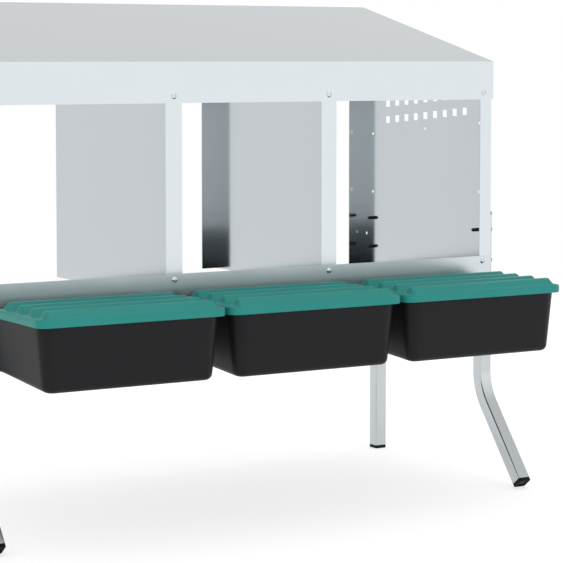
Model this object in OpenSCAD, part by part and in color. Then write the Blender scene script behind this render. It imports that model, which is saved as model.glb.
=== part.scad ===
// Three-bay laying nest: a sheet-steel box on four square-tube legs, with three
// moulded nest trays that slide out at the front and a hinged lid on each tray.
// Millimetres, +Z up, +X along the row of nests, the nest mouths face -Y.
// The origin is on the ground under the middle of the outline.

/* [Box] */
// Width over the two end walls
box_w = 906; // [880:2:960]
// Depth of the end walls and partitions
wall_d = 386; // [366:5:401]
// Height of the roof's front edge above the ground
front_h = 695; // [680:5:720]
// Height of the roof's back edge above the ground
back_h = 791; // [770:5:820]
// Height of the nest sill, the top of the front rail
sill_h = 376; // [370:2:384]
// Height of the lower edge of the roof's front lip
lip_h = 633; // [610:1:640]
// Thickness of the steel sheet
sheet = 1.0; // [0.8:0.1:1.2]

/* [Legs] */
// Side of the square leg tube
tube = 22; // [20:1:24]
// Wall of the leg tube
tube_wall = 1.2; // [1:0.1:1.6]
// Height of the top of the leg tubes
leg_top = 441; // [436:1:446]
// Forward kick of the front legs, in degrees
kick = 38.3; // [30:0.1:40]
// Radius of the bend in the front legs, at the middle of the tube
bend_r = 90; // [70:5:100]

/* [Nest trays] */
// Height of the tray's underside at its front
tray_z = 240; // [236:1:244]
// Slope that rolls the eggs to the front, in degrees
tray_tilt = 4; // [3:0.1:4.5]
// Wall of the moulded tray
tray_wall = 2.2; // [1.8:0.1:2.6]

/* [Lids] */
// Height of the lid's lower edge
lid_z = 333.5; // [333:0.5:335]
// Height of the lid's skirt
lid_skirt = 12; // [11:0.5:13]
// Height of the grip ribs on the lid
rib_h = 10; // [6:0.5:12]

/* [Hidden] */
$fn = 48;

// The front face of the posts is the plane y = 0 of every module below, and
// front_y moves it so that the outline is centred on the origin.
roof_back = wall_d + 2 * sheet;
lid_front = -196;
screw_head_h = 2.6;
front_y = -(roof_back + screw_head_h + lid_front) / 2;

// Roof
roof_over = 3;
roof_half = box_w / 2 + roof_over;
roof_rise = (back_h - front_h) / (roof_back + sheet);
roof_angle = atan(roof_rise);
side_skirt = 20;
back_skirt = 24;

// Walls and partitions
wall_bottom = 228;
post_bottom = 312;
web_bottom = 338;
end_post = 22.4;
post_w = 28;
post_x = box_w * 0.152;
back_flange = 28.6;
roof_gap = 0.3;

// Vent slots in the end walls: rows that fall towards the back
slot = 12;
slot_pitch = 28.66;
slot_cols = 9;
slot_rows = 2;
slot_front_y = 73.2;
slot_front_z = 611.7;
slot_fall = 4.9;
vent_hole_r = 2.6;
vent_holes = [[32, 593], [32, 479], [350, 566], [350, 463], [369.6, 387], [188.4, 579.6]];

// Rails and bars
rail_bottom = 310;
rear_rail_top = 330;
rear_rail_bottom = 290;
bar_w = 20;
bar_h = 12;
front_bar_y = 62;
rear_bar_y = 302;
bar_gap = 0.3;

// Legs
leg_x = box_w / 2;
front_leg_y = 25.2;
rear_leg_y = 338.4;
foot_plate = 6;
cap_plate = 5;
plug_len = 14;
plug_gap = 0.2;
bolt_z = [365, 416];
kick_foot = tube / 2 * sin(kick);
joint_lap = 0.1;

// Trays
tray_pitch = box_w / 3;
tray_front = -190;
tray_draft = 8;
tray_half = tray_pitch / 2 - 11;
tray_corner = 28;
trough_top = 337;
trough_back = -22;
nest_back = 380;
nest_h = 48;
egg_gap_h = 62;
nest_half = tray_half - 6;
nest_corner = 18;
edge_r = 8;
rim_out = 3;
rim_t = 3;

// Lids
lid_half = tray_pitch / 2 - 3.1;
lid_back = -37;
lid_corner = 14;
lid_wall = 2;
lid_gap = 0.5;
rib_count = 4;
rib_pitch = 40.5;
rib_w = 26;
rib_inset = 12;
hinge_y = -31;
hinge_z = 341;
knuckle_r = 4.5;
pin_r = 2;
pin_gap = 0.05;
ear_x = 112;
ear_w = 8;
ear_back = trough_back + rim_out / 2;
knuckle_w = 24;
knuckle_x = 88;

// Fasteners
screw_r = 2;
screw_head_r = 4.4;
screw_len = 9;
screw_hole = 2.2;
nut_h = 3.2;
nut_r = 4;
bolt_r = 3;
bolt_hole = 3.2;
bolt_head_r = 5.8;
bolt_head_h = 4;
bolt_tip = 10;
washer_r = 6.5;
washer_t = 1.2;
lip_screw_z = 643.5;
rail_screw_z = 367;
back_screw_z = back_h - 14;
rear_rail_screw_z = 310;

end_screw_x = box_w / 2 - 16;
screw_xs = [-end_screw_x, -post_x, post_x, end_screw_x];
sides = [-1, 1];
tray_xs = [-tray_pitch, 0, tray_pitch];

// Height of the roof's underside above a point y behind the posts
function roof_under(y) = front_h + roof_rise * (y + sheet) - sheet / cos(roof_angle);
// Height of the tray's underside at y
function tray_base(y) = tray_z + tan(tray_tilt) * (y - tray_front - tray_draft);

module at_front() {
    translate([0, front_y, 0]) children();
}

// A flat outline of a rectangle with round corners, w by d, centred
module round_rect(w, d, r) {
    square([w - 2 * r, d], center = true);
    square([w, d - 2 * r], center = true);
    for (x = sides, y = sides)
        translate([x * (w / 2 - r), y * (d / 2 - r)]) circle(r);
}

// A plate standing on its edge: an outline of [y, z] points, thickness along +X
module side_plate(x, t, points) {
    translate([x, 0, 0])
        rotate([90, 0, 90])
            linear_extrude(t) polygon(points);
}

// A round hole or peg along +Y
module along_y(x, y, z, r, h) {
    translate([x, y, z])
        rotate([-90, 0, 0]) cylinder(r = r, h = h);
}

// A round hole or peg along +X
module along_x(x, y, z, r, h) {
    translate([x, y, z])
        rotate([0, 90, 0]) cylinder(r = r, h = h);
}

/* ---------- sheet-steel box ---------- */

// Roof: front lip, sloped top, short side skirts and a back skirt folded double
module roof() {
    under = sheet / cos(roof_angle);
    inner_back = roof_back - 2 * sheet;
    color("gainsboro") at_front() difference() {
        union() {
            side_plate(-roof_half, 2 * roof_half, [
                [-sheet, lip_h], [-sheet, front_h], [roof_back, back_h],
                [roof_back, back_h - back_skirt], [inner_back, back_h - back_skirt],
                [inner_back, back_h - under - 2 * sheet * roof_rise],
                [0, roof_under(0)], [0, lip_h]
            ]);
            for (s = sides)
                side_plate(s * (roof_half - sheet / 2) - sheet / 2, sheet, [
                    [0, roof_under(0) - side_skirt], [0, roof_under(0) + sheet / 2],
                    [roof_back - sheet / 2, roof_under(roof_back) + sheet / 2],
                    [roof_back - sheet / 2, roof_under(roof_back) - side_skirt]
                ]);
        }
        for (x = screw_xs) {
            along_y(x, -5, lip_screw_z, screw_hole, 10);
            along_y(x, roof_back - 5, back_screw_z, screw_hole, 10);
        }
    }
}

// Holes for the screws through one post and its back flange
module post_holes(x, back_x) {
    along_y(x, -5, lip_screw_z, screw_hole, 10);
    along_y(x, -5, rail_screw_z, screw_hole, 10);
    along_y(back_x, wall_d - 5, back_screw_z, screw_hole, 10);
    along_y(back_x, wall_d - 5, rear_rail_screw_z, screw_hole, 10);
}

// Rows of square vent slots, cut through a wall that stands at x
module vent_slots(x) {
    for (row = [0 : slot_rows - 1], col = [0 : slot_cols - 1])
        translate([x, slot_front_y + col * slot_pitch,
                   slot_front_z - tan(slot_fall) * col * slot_pitch + row * slot_pitch])
            cube([3 * sheet, slot, slot], center = true);
}

// Right end wall: web with front, back, top and bottom flanges folded inwards
module end_wall() {
    top_front = roof_under(0) - roof_gap;
    top_back = roof_under(wall_d) - roof_gap;
    x = box_w / 2 - sheet;
    difference() {
        union() {
            side_plate(x, sheet, [[0, wall_bottom], [wall_d, wall_bottom],
                                  [wall_d, top_back], [0, top_front]]);
            translate([box_w / 2 - end_post, 0, post_bottom])
                cube([end_post, sheet, top_front - post_bottom]);
            translate([box_w / 2 - back_flange, wall_d - sheet, wall_bottom])
                cube([back_flange, sheet, top_back - wall_bottom]);
            translate([box_w / 2 - end_post, 0, wall_bottom])
                cube([end_post, wall_d, sheet]);
            side_plate(box_w / 2 - end_post, end_post, [
                [0, top_front - sheet], [wall_d, top_back - sheet],
                [wall_d, top_back], [0, top_front]
            ]);
        }
        post_holes(end_screw_x, end_screw_x);
        vent_slots(box_w / 2 - sheet / 2);
        for (h = vent_holes)
            along_x(box_w / 2 - 3, h[0], h[1], vent_hole_r, 6);
        for (y = [front_leg_y, rear_leg_y], z = bolt_z)
            along_x(box_w / 2 - 3, y + tube / 2, z, bolt_hole, 6);
        along_x(box_w / 2 - 3, front_bar_y + bar_w / 2, bar_mid(front_bar_y), screw_hole, 6);
        along_x(box_w / 2 - 3, rear_bar_y + bar_w / 2, bar_mid(rear_bar_y), screw_hole, 6);
    }
}

module end_wall_right() {
    color("silver") at_front() end_wall();
}

module end_wall_left() {
    color("silver") at_front() mirror([1, 0, 0]) end_wall();
}

// Right partition: web at the right, front post and back flange folded to the middle
module partition() {
    x = post_x;
    right = x + post_w / 2;
    top_front = roof_under(0) - roof_gap;
    top_back = roof_under(wall_d) - roof_gap;
    difference() {
        union() {
            side_plate(right - sheet, sheet, [
                [0, post_bottom], [sheet, post_bottom], [sheet, web_bottom],
                [wall_d, web_bottom], [wall_d, top_back], [0, top_front]
            ]);
            translate([x - post_w / 2, 0, post_bottom])
                cube([post_w, sheet, top_front - post_bottom]);
            translate([right - back_flange, wall_d - sheet, web_bottom])
                cube([back_flange, sheet, top_back - web_bottom]);
        }
        post_holes(x, x);
    }
}

module partition_right() {
    color("silver") at_front() partition();
}

module partition_left() {
    color("silver") at_front() mirror([1, 0, 0]) partition();
}

// Front rail: the nest sill, a flat face with a return along its lower edge
module front_rail() {
    return_d = 9;
    color("silver") at_front() difference() {
        union() {
            translate([-box_w / 2, -sheet, rail_bottom])
                cube([box_w, sheet, sill_h - rail_bottom]);
            translate([-box_w / 2 + end_post + 2, -sheet, rail_bottom])
                cube([box_w - 2 * end_post - 4, return_d, sheet]);
        }
        for (x = screw_xs)
            along_y(x, -5, rail_screw_z, screw_hole, 10);
    }
}

// Rear rail: ties the back flanges together behind the trays
module rear_rail() {
    color("silver") at_front() difference() {
        translate([-box_w / 2, wall_d, rear_rail_bottom])
            cube([box_w, sheet, rear_rail_top - rear_rail_bottom]);
        for (x = [-end_screw_x, end_screw_x])
            along_y(x, wall_d - 5, rear_rail_screw_z, screw_hole, 10);
    }
}

// Height of the middle of a tray bar that lies at y
function bar_mid(y) = tray_base(y + bar_w / 2) - bar_gap - bar_h / 2 / cos(tray_tilt);

// Bar across the box that the trays slide on, tilted with them
module tray_bar(y) {
    wall = 1.2;
    len = box_w - 2 * sheet - 0.4;
    color("darkgray") at_front() translate([-len / 2, y + bar_w / 2, bar_mid(y)])
        rotate([tray_tilt, 0, 0]) rotate([90, 0, 90]) linear_extrude(len)
            difference() {
                square([bar_w, bar_h], center = true);
                square([bar_w - 2 * wall, bar_h - 2 * wall], center = true);
            }
}

module front_tray_bar() { tray_bar(front_bar_y); }

module rear_tray_bar() { tray_bar(rear_bar_y); }

/* ---------- legs, feet and caps ---------- */

// Square ring, the section of a leg tube
module tube_section() {
    difference() {
        square(tube, center = true);
        square(tube - 2 * tube_wall, center = true);
    }
}

// Both bolt holes through a leg tube whose middle is at y
module leg_bolt_holes(y) {
    for (z = bolt_z)
        along_x(leg_x - 2, y, z, bolt_hole, tube + 4);
}

// Straight rear leg at the right
module rear_leg() {
    mid_y = rear_leg_y + tube / 2;
    difference() {
        translate([leg_x + tube / 2, mid_y, foot_plate])
            linear_extrude(leg_top - foot_plate) tube_section();
        leg_bolt_holes(mid_y);
    }
}

// Middle of the front leg, and the height at which its bend starts
front_mid_y = front_leg_y + tube / 2;
corner_z = 150.4;
bend_top = corner_z + bend_r * tan(kick / 2);
kick_len = corner_z / cos(kick) - bend_r * tan(kick / 2) - kick_foot / cos(kick);

// Front leg at the right: straight down, then bent forwards to the foot
module front_leg() {
    difference() {
        translate([leg_x + tube / 2, front_mid_y, 0]) {
            translate([0, 0, bend_top - joint_lap])
                linear_extrude(leg_top - bend_top + joint_lap) tube_section();
            translate([0, -bend_r, bend_top]) rotate([0, 90, 0])
                rotate([0, 0, 90 - kick]) rotate_extrude(angle = kick, $fn = 96)
                    translate([bend_r, 0]) tube_section();
            translate([0, -bend_r, bend_top]) rotate([-kick, 0, 0])
                translate([0, bend_r, -kick_len + foot_plate])
                    linear_extrude(kick_len - foot_plate + joint_lap) tube_section();
        }
        leg_bolt_holes(front_mid_y);
    }
}

// Moulded end plug: a plate over the tube's end and a peg inside it, peg up
module end_plug(plate) {
    peg = tube - 2 * tube_wall - 2 * plug_gap;
    translate([-tube / 2, -tube / 2, 0]) cube([tube, tube, plate]);
    translate([-peg / 2, -peg / 2, plate / 2]) cube([peg, peg, plug_len]);
}

module rear_foot() {
    translate([leg_x + tube / 2, rear_leg_y + tube / 2, 0]) end_plug(foot_plate);
}

module front_foot() {
    translate([leg_x + tube / 2, front_mid_y - bend_r, bend_top]) rotate([-kick, 0, 0])
        translate([0, bend_r, -kick_len]) end_plug(foot_plate);
}

// Cap in the top of a leg tube whose middle is at y
module leg_cap(y) {
    translate([leg_x + tube / 2, y, leg_top + cap_plate]) mirror([0, 0, 1]) end_plug(cap_plate);
}

module leg_front_right() { color("lightgray") at_front() front_leg(); }

module leg_front_left() { color("lightgray") at_front() mirror([1, 0, 0]) front_leg(); }

module leg_rear_right() { color("lightgray") at_front() rear_leg(); }

module leg_rear_left() { color("lightgray") at_front() mirror([1, 0, 0]) rear_leg(); }

module foot_front_right() { color("black") at_front() front_foot(); }

module foot_front_left() { color("black") at_front() mirror([1, 0, 0]) front_foot(); }

module foot_rear_right() { color("black") at_front() rear_foot(); }

module foot_rear_left() { color("black") at_front() mirror([1, 0, 0]) rear_foot(); }

module cap_front_right() { color("black") at_front() leg_cap(front_mid_y); }

module cap_front_left() {
    color("black") at_front() mirror([1, 0, 0]) leg_cap(front_mid_y);
}

module cap_rear_right() { color("black") at_front() leg_cap(rear_leg_y + tube / 2); }

module cap_rear_left() {
    color("black") at_front() mirror([1, 0, 0]) leg_cap(rear_leg_y + tube / 2);
}

/* ---------- nest trays ---------- */

// A disc parallel to the tray's floor, up above its underside
module floor_disc(x, y, r, up) {
    translate([x, y, tray_base(y)]) rotate([tray_tilt, 0, 0])
        translate([0, 0, up]) cylinder(r = r, h = 0.5, $fn = 32);
}

// Solid of the egg trough at the front: drafted sides, round corners and bottom edge
module trough_solid(inset, top) {
    r = tray_corner - inset;
    hull() {
        for (s = sides) {
            translate([s * (tray_half - tray_corner), tray_front + tray_corner, top - 0.5])
                cylinder(r = r, h = 0.5, $fn = 32);
            translate([s * (tray_half - inset - 6), trough_back - inset - 6, top - 0.5])
                cylinder(r = 6, h = 0.5, $fn = 32);
            for (step = [0, 30, 60, 90]) {
                shrink = edge_r * (1 - sin(step));
                up = inset + edge_r * (1 - cos(step));
                floor_disc(s * (tray_half - tray_draft - tray_corner),
                           tray_front + tray_draft + tray_corner, r - shrink, up);
                floor_disc(s * (tray_half - tray_draft - inset - edge_r - 2),
                           trough_back - inset - edge_r - 2, edge_r + 2 - shrink, up);
            }
        }
    }
}

// Solid of the nest part behind the trough, up to a height above the underside
module nest_solid(inset, front, up_top) {
    r = nest_corner - inset;
    hull() {
        for (s = sides, y = [front + r, nest_back - inset - r]) {
            floor_disc(s * (nest_half - inset - r), y, r, up_top - 0.5);
            floor_disc(s * (nest_half - 3 - inset - r), y, r, inset + 6);
            floor_disc(s * (nest_half - 3 - inset - r), y, r - 5, inset);
        }
    }
}

// Rim of the trough, under the lid's skirt
module trough_rim() {
    depth = trough_back - tray_front;
    translate([0, (trough_back + tray_front) / 2, trough_top - rim_t])
        linear_extrude(rim_t) difference() {
            round_rect(2 * (tray_half + rim_out), depth + 2 * rim_out, tray_corner);
            round_rect(2 * (tray_half - tray_wall), depth - 2 * tray_wall, tray_corner - 4);
        }
}

// Rim along the top of the nest part
module nest_rim() {
    r = nest_corner - tray_wall / 2;
    outer = nest_back - trough_back + rim_out - 1;
    inner = nest_back - trough_back - tray_wall / 2 + 2 * r;
    pivot = nest_back - inner / 2 - tray_wall / 2;
    translate([0, pivot, tray_base(pivot)]) rotate([tray_tilt, 0, 0])
        translate([0, 0, nest_h - rim_t]) linear_extrude(rim_t - 0.5) difference() {
            translate([0, (inner - outer + tray_wall) / 2 + rim_out - 1])
                round_rect(2 * (nest_half + rim_out), outer, r);
            round_rect(2 * (nest_half - tray_wall / 2), inner, r);
        }
}

// Ears that hold the lid's hinge pin
module hinge_ears() {
    for (s = sides)
        translate([s * ear_x - ear_w / 2, 0, 0]) {
            along_x(0, hinge_y, hinge_z, knuckle_r, ear_w);
            translate([0, hinge_y - knuckle_r, trough_top - rim_t / 2])
                cube([ear_w, ear_back - hinge_y + knuckle_r, hinge_z - trough_top + rim_t / 2]);
        }
}

module nest_tray(x) {
    color("#2b2b2d") at_front() translate([x, 0, 0]) difference() {
        union() {
            difference() {
                union() {
                    trough_solid(0, trough_top);
                    nest_solid(0, -80, nest_h);
                }
                trough_solid(tray_wall, trough_top + 1);
                nest_solid(tray_wall, -78, egg_gap_h);
            }
            trough_rim();
            nest_rim();
            hinge_ears();
        }
        along_x(-ear_x - ear_w, hinge_y, hinge_z, pin_r + pin_gap, 2 * ear_x + 2 * ear_w);
    }
}

module tray_left() { nest_tray(tray_xs[0]); }

module tray_middle() { nest_tray(tray_xs[1]); }

module tray_right() { nest_tray(tray_xs[2]); }

/* ---------- lids ---------- */

// Grip rib with round ends, hollow below
module rib(y, inset) {
    len = 2 * (lid_half - rib_inset) - 2 * inset;
    w = rib_w - 2 * inset;
    top = lid_z + lid_skirt + rib_h - inset;
    translate([0, y, lid_z + lid_skirt - lid_wall - 0.5])
        linear_extrude(top - lid_z - lid_skirt + lid_wall + 0.5)
            round_rect(len, w, w / 2 - 0.5);
}

module lid(x) {
    depth = lid_back - lid_front;
    mid = (lid_back + lid_front) / 2;
    rib_front = mid - (rib_count - 1) / 2 * rib_pitch;
    color("#2f8f83") at_front() translate([x, 0, 0]) difference() {
        union() {
            translate([0, mid, lid_z]) linear_extrude(lid_skirt)
                round_rect(2 * lid_half, depth, lid_corner);
            for (i = [0 : rib_count - 1])
                rib(rib_front + i * rib_pitch, 0);
            for (kx = [-knuckle_x, 0, knuckle_x]) {
                along_x(kx - knuckle_w / 2, hinge_y, hinge_z, knuckle_r, knuckle_w);
                translate([kx - knuckle_w / 2, lid_back - 2, hinge_z])
                    cube([knuckle_w, hinge_y - lid_back + 2, knuckle_r]);
            }
        }
        translate([0, mid, lid_z - 1]) linear_extrude(lid_skirt - lid_wall + 1)
            round_rect(2 * (lid_half - lid_wall), depth - 2 * lid_wall, lid_corner - lid_wall);
        for (i = [0 : rib_count - 1])
            rib(rib_front + i * rib_pitch, lid_wall);
        along_x(-ear_x, hinge_y, hinge_z, pin_r + pin_gap, 2 * ear_x);
        translate([-lid_half, lid_back - lid_corner, lid_z - 1])
            cube([2 * lid_half, lid_corner + 1, trough_top + lid_gap - lid_z + 1]);
    }
}

module lid_left() { lid(tray_xs[0]); }

module lid_middle() { lid(tray_xs[1]); }

module lid_right() { lid(tray_xs[2]); }

// Steel rod through the tray's ears and the lid's knuckles
module hinge_pin(x) {
    len = 2 * ear_x + ear_w + 3;
    color("silver") at_front() along_x(x - len / 2, hinge_y, hinge_z, pin_r, len);
}

module hinge_pin_left() { hinge_pin(tray_xs[0]); }

module hinge_pin_middle() { hinge_pin(tray_xs[1]); }

module hinge_pin_right() { hinge_pin(tray_xs[2]); }

/* ---------- fasteners ---------- */

// Pan-head screw along +Y with its head's underside at y = 0
module pan_screw() {
    along_y(0, -screw_head_h * 0.55, 0, screw_head_r, screw_head_h * 0.55);
    along_y(0, -screw_head_h, 0, screw_head_r * 0.75, screw_head_h);
    along_y(0, 0, 0, screw_r, screw_len);
}

// Hexagon nut around an axis along +Y, from y = 0
module nut(r, h, bore) {
    rotate([-90, 0, 0]) difference() {
        cylinder(r = r, h = h, $fn = 6);
        translate([0, 0, -1]) cylinder(r = bore, h = h + 2);
    }
}

module lip_screws() {
    color("white") at_front()
        for (x = screw_xs) translate([x, -sheet, lip_screw_z]) pan_screw();
}

module rail_screws() {
    color("white") at_front()
        for (x = screw_xs) translate([x, -sheet, rail_screw_z]) pan_screw();
}

module roof_back_screws() {
    color("white") at_front()
        for (x = screw_xs) translate([x, roof_back, back_screw_z])
            rotate([0, 0, 180]) pan_screw();
}

module rear_rail_screws() {
    color("white") at_front()
        for (x = [-end_screw_x, end_screw_x])
            translate([x, wall_d + sheet, rear_rail_screw_z]) rotate([0, 0, 180]) pan_screw();
}

// Nuts behind the sheet for every panel screw
module panel_nuts() {
    color("darkgray") at_front() {
        for (x = screw_xs, z = [lip_screw_z, rail_screw_z])
            translate([x, sheet, z]) nut(nut_r, nut_h, screw_r);
        for (x = screw_xs)
            translate([x, wall_d - sheet - nut_h, back_screw_z]) nut(nut_r, nut_h, screw_r);
        for (x = [-end_screw_x, end_screw_x])
            translate([x, wall_d - sheet - nut_h, rear_rail_screw_z])
                nut(nut_r, nut_h, screw_r);
    }
}

// Places its children at every leg bolt, at the outer face of the leg, +X outwards
module each_leg_bolt() {
    for (s = [0, 1], y = [front_mid_y, rear_leg_y + tube / 2], z = bolt_z)
        mirror([s, 0, 0]) translate([leg_x + tube, y, z]) children();
}

module leg_bolts() {
    color("dimgray") at_front() each_leg_bolt() {
        along_x(washer_t, 0, 0, bolt_head_r, bolt_head_h);
        along_x(-tube - sheet - bolt_tip, 0, 0, bolt_r, tube + sheet + bolt_tip + washer_t);
    }
}

module leg_washers() {
    color("silver") at_front() each_leg_bolt()
        difference() {
            along_x(0, 0, 0, washer_r, washer_t);
            along_x(-1, 0, 0, bolt_hole, washer_t + 2);
        }
}

// Screws through the end walls into the tray bars
module bar_screws() {
    color("white") at_front()
        for (s = [0, 1], y = [front_bar_y, rear_bar_y])
            mirror([s, 0, 0]) translate([box_w / 2, y + bar_w / 2, bar_mid(y)])
                rotate([0, 0, 90]) pan_screw();
}

roof();
end_wall_left();
end_wall_right();
partition_left();
partition_right();
front_rail();
rear_rail();
front_tray_bar();
rear_tray_bar();
leg_front_left();
leg_front_right();
leg_rear_left();
leg_rear_right();
foot_front_left();
foot_front_right();
foot_rear_left();
foot_rear_right();
cap_front_left();
cap_front_right();
cap_rear_left();
cap_rear_right();
tray_left();
tray_middle();
tray_right();
lid_left();
lid_middle();
lid_right();
hinge_pin_left();
hinge_pin_middle();
hinge_pin_right();
lip_screws();
rail_screws();
roof_back_screws();
rear_rail_screws();
panel_nuts();
leg_bolts();
leg_washers();
bar_screws();
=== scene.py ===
"""Three-bay laying nest: zinc-coated sheet on bent tube legs, with black egg trays
that slide out and green ribbed lids. Every place and overall size comes from the frame."""

import math

import bmesh
import bpy
import numpy as np
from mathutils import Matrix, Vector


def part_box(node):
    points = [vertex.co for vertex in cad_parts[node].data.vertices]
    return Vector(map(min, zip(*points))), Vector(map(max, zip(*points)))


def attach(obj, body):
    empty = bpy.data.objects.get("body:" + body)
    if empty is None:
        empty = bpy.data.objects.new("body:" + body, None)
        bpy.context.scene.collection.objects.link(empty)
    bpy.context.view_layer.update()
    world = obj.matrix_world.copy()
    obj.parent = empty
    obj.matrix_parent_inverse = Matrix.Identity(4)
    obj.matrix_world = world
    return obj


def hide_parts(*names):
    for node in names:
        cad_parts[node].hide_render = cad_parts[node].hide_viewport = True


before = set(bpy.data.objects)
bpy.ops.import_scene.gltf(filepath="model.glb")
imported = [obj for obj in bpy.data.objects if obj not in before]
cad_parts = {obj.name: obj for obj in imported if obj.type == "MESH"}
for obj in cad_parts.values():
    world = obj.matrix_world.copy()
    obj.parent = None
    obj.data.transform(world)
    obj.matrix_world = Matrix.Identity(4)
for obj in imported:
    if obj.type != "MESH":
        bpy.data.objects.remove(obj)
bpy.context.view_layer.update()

bl_info = {
    "name": "Laying nest",
    "version": (1, 0, 0),
    "blender": (4, 5, 0),
    "location": "3D View > Sidebar > Nest",
    "description": "Builds the looks of a three-bay laying nest around its frame",
    "category": "Object",
}

MM = 0.001
TAU = 2 * math.pi
BAYS = ("left", "middle", "right")
ALONG_X = np.array([1.0, 0.0, 0.0])
UP = np.array([0.0, 0.0, 1.0])

KICK = math.radians(38.3)       # slant of a front leg below its bend
BEND_RADIUS = 90 * MM           # of the leg's middle line
BEND_STEPS = 24

RIM_BELOW_TOP = 8.5 * MM        # from the top of a tray's hinge ears down to its rim
TROUGH_PAST_HINGE = 9 * MM      # from the hinge back to the trough's back wall
FLOOR_SETTLE = 0.56 * MM        # the floor's fall over the width of the front draft
BED_NARROWER = 6 * MM           # each side draws in by this behind the trough
BACK_CORNER = 18 * MM
EGG_GAP = 62 * MM               # from the floor up to the wall across the tray
EAR_WIDTH = 8 * MM
KNUCKLE_WIDTH = 24 * MM
KNUCKLES = (-88 * MM, 0.0, 88 * MM)

PAN_HEIGHT = 2.6 * MM
SCREW_RADIUS, SCREW_PITCH = 2 * MM, 0.9 * MM
BOLT_RADIUS, BOLT_PITCH = 3 * MM, 1.25 * MM
BOLT_HEAD_DEPTH, BOLT_HEAD_HEIGHT = 4 * MM, 3.4 * MM
WASHER_BORE = 3.2 * MM

CAMERA_PLACE = (-1.6510, -2.9236, 0.7006)
CAMERA_TILT = math.radians(4.180)       # downwards from level
CAMERA_TURN = math.radians(-31.055)     # to the right of straight ahead
CAMERA_SHIFT = -0.12
SENSOR = 36


# ---------------------------------------------------------------- sizes and colours

class NestTrays(bpy.types.PropertyGroup):
    """Moulded tray of each bay"""
    draft: bpy.props.FloatProperty(
        name="Draft", description="How far the trough's walls lean in from rim to floor",
        default=8 * MM, min=1 * MM, max=15 * MM, unit="LENGTH")
    wall: bpy.props.FloatProperty(
        name="Wall", description="Thickness of the moulded wall",
        default=2.2 * MM, min=1.5 * MM, max=3 * MM, unit="LENGTH")
    corner: bpy.props.FloatProperty(
        name="Corner radius", description="Radius of the trough's upright front corners",
        default=24 * MM, min=15 * MM, max=40 * MM, unit="LENGTH")
    floor_round: bpy.props.FloatProperty(
        name="Floor radius", description="Radius between the walls and the floor",
        default=10 * MM, min=3 * MM, max=14 * MM, unit="LENGTH")
    rim: bpy.props.FloatProperty(
        name="Rim", description="How far the rim stands out from the wall",
        default=1.4 * MM, min=1 * MM, max=5 * MM, unit="LENGTH")
    bed_height: bpy.props.FloatProperty(
        name="Bed height", description="Height of the wall round the hen's bed",
        default=46 * MM, min=30 * MM, max=50 * MM, unit="LENGTH")
    slope: bpy.props.FloatProperty(
        name="Slope", description="Slope of the floor that rolls the eggs forward",
        default=math.radians(4), min=0.0, max=math.radians(6), subtype="ANGLE")
    colour: bpy.props.FloatVectorProperty(
        name="Colour", description="Colour of the tray's plastic",
        default=(0.0076, 0.0080, 0.0092), size=3, min=0, max=1, subtype="COLOR")


class NestLids(bpy.types.PropertyGroup):
    """Ribbed lid of each egg trough"""
    skirt: bpy.props.FloatProperty(
        name="Skirt", description="Height of the lid's skirt",
        default=12 * MM, min=8 * MM, max=16 * MM, unit="LENGTH")
    wall: bpy.props.FloatProperty(
        name="Wall", description="Thickness of the lid",
        default=2 * MM, min=1 * MM, max=3 * MM, unit="LENGTH")
    edge_round: bpy.props.FloatProperty(
        name="Edge radius", description="Radius along the lid's top edge",
        default=3 * MM, min=1 * MM, max=5 * MM, unit="LENGTH")
    rib_pitch: bpy.props.FloatProperty(
        name="Rib pitch", description="Distance from one rib's crest to the next",
        default=40.5 * MM, min=35 * MM, max=42 * MM, unit="LENGTH")
    rib_half: bpy.props.FloatProperty(
        name="Rib half width", description="From a rib's crest to its foot",
        default=18.5 * MM, min=10 * MM, max=20 * MM, unit="LENGTH")
    rib_end: bpy.props.FloatProperty(
        name="Rib end", description="Length of a rib's round end",
        default=9 * MM, min=4 * MM, max=20 * MM, unit="LENGTH")
    rib_slope: bpy.props.FloatProperty(
        name="Rib slope", description="Share of the half width that the rib's flank takes",
        default=0.9, min=0.2, max=1.0, subtype="FACTOR")
    corner: bpy.props.FloatProperty(
        name="Corner radius", description="Radius of the lid's four corners",
        default=16 * MM, min=6 * MM, max=24 * MM, unit="LENGTH")
    rear_lift: bpy.props.FloatProperty(
        name="Rear lift",
        description="How far the skirt is cut up at the back, over the tray's rim",
        default=4 * MM, min=3.6 * MM, max=6 * MM, unit="LENGTH")
    rib_margin: bpy.props.FloatProperty(
        name="Rib margin", description="From the lid's end to the foot of its ribs",
        default=10 * MM, min=6 * MM, max=16 * MM, unit="LENGTH")
    colour: bpy.props.FloatVectorProperty(
        name="Colour", description="Colour of the lid's plastic",
        default=(0.019, 0.235, 0.210), size=3, min=0, max=1, subtype="COLOR")


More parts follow.
